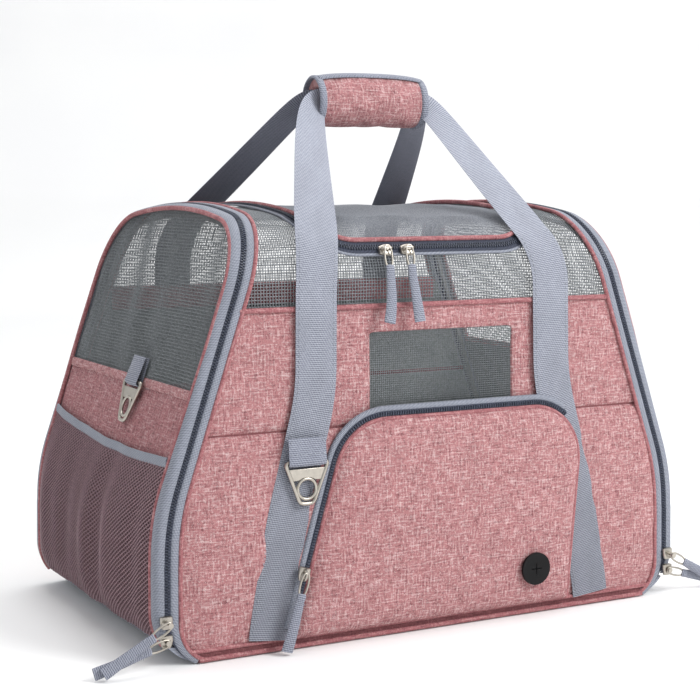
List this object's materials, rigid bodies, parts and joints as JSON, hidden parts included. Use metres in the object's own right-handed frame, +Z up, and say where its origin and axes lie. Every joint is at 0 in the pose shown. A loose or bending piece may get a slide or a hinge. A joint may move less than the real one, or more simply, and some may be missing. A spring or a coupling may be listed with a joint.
{
  "type": "pet transport carrier",
  "caption": "Soft-sided pet carrier with net roof, roof flap, zipped end doors with net pockets, front pocket, carry handle and ring attachments.",
  "frame": {"origin": "middle of the underside, on the plane the carrier stands on", "axes": "+X along the length, -Y out of the pocket side, +Z up"},
  "size_m": [0.5402, 0.285, 0.41],
  "materials": {
    "heather_fabric": "woven melange polyester, light and dark pink threads",
    "base_fabric": "coated woven polyester",
    "board": "stiff sheet in a black cover",
    "mat_fleece": "short-pile fleece",
    "black_net": "open black polyester net",
    "grey_net": "open dark grey polyester net",
    "flap_mesh": "dense grey polyester net",
    "pocket_mesh": "stretch net with hexagonal holes",
    "pink_piping": "corded piping in the body's fabric",
    "zip_tape": "nylon coil zip on woven tape",
    "band_tape": "grosgrain tape",
    "grey_webbing": "woven polypropylene webbing",
    "light_webbing": "woven polypropylene webbing, lighter where it is held up to the light",
    "dark_webbing": "woven polypropylene webbing",
    "spring_wire": "bright spring wire",
    "nickel": "nickel plated, slightly worn",
    "black_rubber": "moulded rubber"
  },
  "bodies": {
    "shell": {"floor_panel": "base_fabric", "base_board": "board", "floor_mat": "mat_fleece", "front_lower_panel": "heather_fabric", "front_upper_panel": "heather_fabric", "front_window_net": "black_net", "back_lower_panel": "heather_fabric", "back_upper_panel": "heather_fabric", "roof_net": "grey_net", "roof_zip": "zip_tape", "seam_piping": "pink_piping", "base_piping": "pink_piping", "side_piping": "pink_piping", "side_bands": "band_tape", "arch_rods": "spring_wire", "tether": "grey_webbing", "pocket_zip": "zip_tape", "front_straps": "grey_webbing", "back_straps": "grey_webbing", "strap_loop": "grey_webbing"},
    "handle": {"grip_wrap": "heather_fabric", "grip_binding": "grey_webbing", "front_legs": "light_webbing", "back_legs": "dark_webbing"},
    "roof_flap": {"flap_net": "flap_mesh", "flap_piping": "pink_piping", "flap_zip": "zip_tape"},
    "left_door": {"left_door_panel": "heather_fabric", "left_door_net": "black_net", "left_door_band": "band_tape", "left_door_piping": "pink_piping", "left_end_pocket": "pocket_mesh", "left_pocket_binding": "grey_webbing", "left_ring_loop": "grey_webbing"},
    "right_door": {"right_door_panel": "heather_fabric", "right_door_net": "black_net", "right_door_band": "band_tape", "right_door_piping": "pink_piping", "right_end_pocket": "pocket_mesh", "right_pocket_binding": "grey_webbing", "right_ring_loop": "grey_webbing"},
    "left_ring": {"left_ring": "nickel"},
    "right_ring": {"right_ring": "nickel"},
    "strap_ring": {"strap_ring": "nickel"},
    "front_pocket": {"front_pocket": "heather_fabric", "cable_outlet": "black_rubber"},
    "pocket_slider": {"pocket_slider": "nickel"},
    "pocket_pull": {"pocket_pull": "grey_webbing"},
    "roof_slider_left": {"roof_slider_left": "nickel"},
    "roof_slider_right": {"roof_slider_right": "nickel"},
    "roof_pull_left": {"roof_pull_left": "grey_webbing"},
    "roof_pull_right": {"roof_pull_right": "grey_webbing"},
    "left_upper_slider": {"left_upper_slider": "nickel"},
    "left_lower_slider": {"left_lower_slider": "nickel"},
    "left_upper_pull": {"left_upper_pull": "grey_webbing"},
    "left_lower_pull": {"left_lower_pull": "grey_webbing"},
    "right_upper_slider": {"right_upper_slider": "nickel"},
    "right_lower_slider": {"right_lower_slider": "nickel"},
    "right_upper_pull": {"right_upper_pull": "grey_webbing"},
    "right_lower_pull": {"right_lower_pull": "grey_webbing"}
  },
  "joints": [
    {"name": "handle_sink", "type": "slide", "parent": "shell", "child": "handle", "axis": [0, 0, -1], "range_m": [0, 0.028], "deforming": ["front_legs", "back_legs"]},
    {"name": "flap_swing", "type": "hinge", "parent": "shell", "child": "roof_flap", "pos_m": [0, 0.1, 0.2965], "axis": [1, 0, 0], "range_deg": [0, 40]},
    {"name": "left_door_open", "type": "hinge", "parent": "shell", "child": "left_door", "pos_m": [-0.2125, 0, 0.014], "axis": [0, -1, 0], "range_deg": [0, 75]},
    {"name": "right_door_open", "type": "hinge", "parent": "shell", "child": "right_door", "pos_m": [0.2125, 0, 0.014], "axis": [0, 1, 0], "range_deg": [0, 75]},
    {"name": "left_ring_swing", "type": "hinge", "parent": "left_door", "child": "left_ring", "pos_m": [-0.19402, -0.025, 0.183], "axis": [0, 1, 0], "range_deg": [0, 110]},
    {"name": "right_ring_swing", "type": "hinge", "parent": "right_door", "child": "right_ring", "pos_m": [0.19402, -0.025, 0.183], "axis": [0, -1, 0], "range_deg": [0, 110]},
    {"name": "strap_ring_swing", "type": "hinge", "parent": "shell", "child": "strap_ring", "pos_m": [-0.11, -0.139, 0.134], "axis": [-1, 0, 0], "range_deg": [0, 110]},
    {"name": "front_pocket_open", "type": "hinge", "parent": "shell", "child": "front_pocket", "pos_m": [0, -0.137, 0.008], "axis": [1, 0, 0], "range_deg": [0, 20]},
    {"name": "pocket_zip_run", "type": "slide", "parent": "shell", "child": "pocket_slider", "axis": [0.2856, 0, 0.9583], "range_m": [0, 0.042]},
    {"name": "pocket_pull_lift", "type": "hinge", "parent": "pocket_slider", "child": "pocket_pull", "pos_m": [-0.11369, -0.1456, 0.055], "axis": [-0.9583, 0, 0.2856], "range_deg": [0, 100]},
    {"name": "roof_zip_run_left", "type": "slide", "parent": "shell", "child": "roof_slider_left", "axis": [-1, 0, 0], "range_m": [0, 0.018]},
    {"name": "roof_zip_run_right", "type": "slide", "parent": "shell", "child": "roof_slider_right", "axis": [1, 0, 0], "range_m": [0, 0.075]},
    {"name": "roof_pull_lift_left", "type": "hinge", "parent": "roof_slider_left", "child": "roof_pull_left", "pos_m": [-0.04, -0.12885, 0.28147], "axis": [-1, 0, 0], "range_deg": [0, 100]},
    {"name": "roof_pull_lift_right", "type": "hinge", "parent": "roof_slider_right", "child": "roof_pull_right", "pos_m": [-0.022, -0.12885, 0.28147], "axis": [-1, 0, 0], "range_deg": [0, 100]},
    {"name": "left_upper_zip_run", "type": "slide", "parent": "shell", "child": "left_upper_slider", "axis": [0, 0, 1], "range_m": [0, 0.055]},
    {"name": "left_lower_zip_run", "type": "slide", "parent": "shell", "child": "left_lower_slider", "axis": [0, 0, 1], "range_m": [0, 0.003]},
    {"name": "left_upper_pull_lift", "type": "hinge", "parent": "left_upper_slider", "child": "left_upper_pull", "pos_m": [-0.2145, -0.142, 0.032], "axis": [0, 1, 0], "range_deg": [0, 60]},
    {"name": "left_lower_pull_lift", "type": "hinge", "parent": "left_lower_slider", "child": "left_lower_pull", "pos_m": [-0.2145, -0.1383, 0.019], "axis": [0, 1, 0], "range_deg": [0, 60]},
    {"name": "right_upper_zip_run", "type": "slide", "parent": "shell", "child": "right_upper_slider", "axis": [0, 0, 1], "range_m": [0, 0.055]},
    {"name": "right_lower_zip_run", "type": "slide", "parent": "shell", "child": "right_lower_slider", "axis": [0, 0, 1], "range_m": [0, 0.003]},
    {"name": "right_upper_pull_lift", "type": "hinge", "parent": "right_upper_slider", "child": "right_upper_pull", "pos_m": [0.2145, -0.142, 0.032], "axis": [0, -1, 0], "range_deg": [0, 60]},
    {"name": "right_lower_pull_lift", "type": "hinge", "parent": "right_lower_slider", "child": "right_lower_pull", "pos_m": [0.2145, -0.1383, 0.019], "axis": [0, -1, 0], "range_deg": [0, 60]}
  ]
}
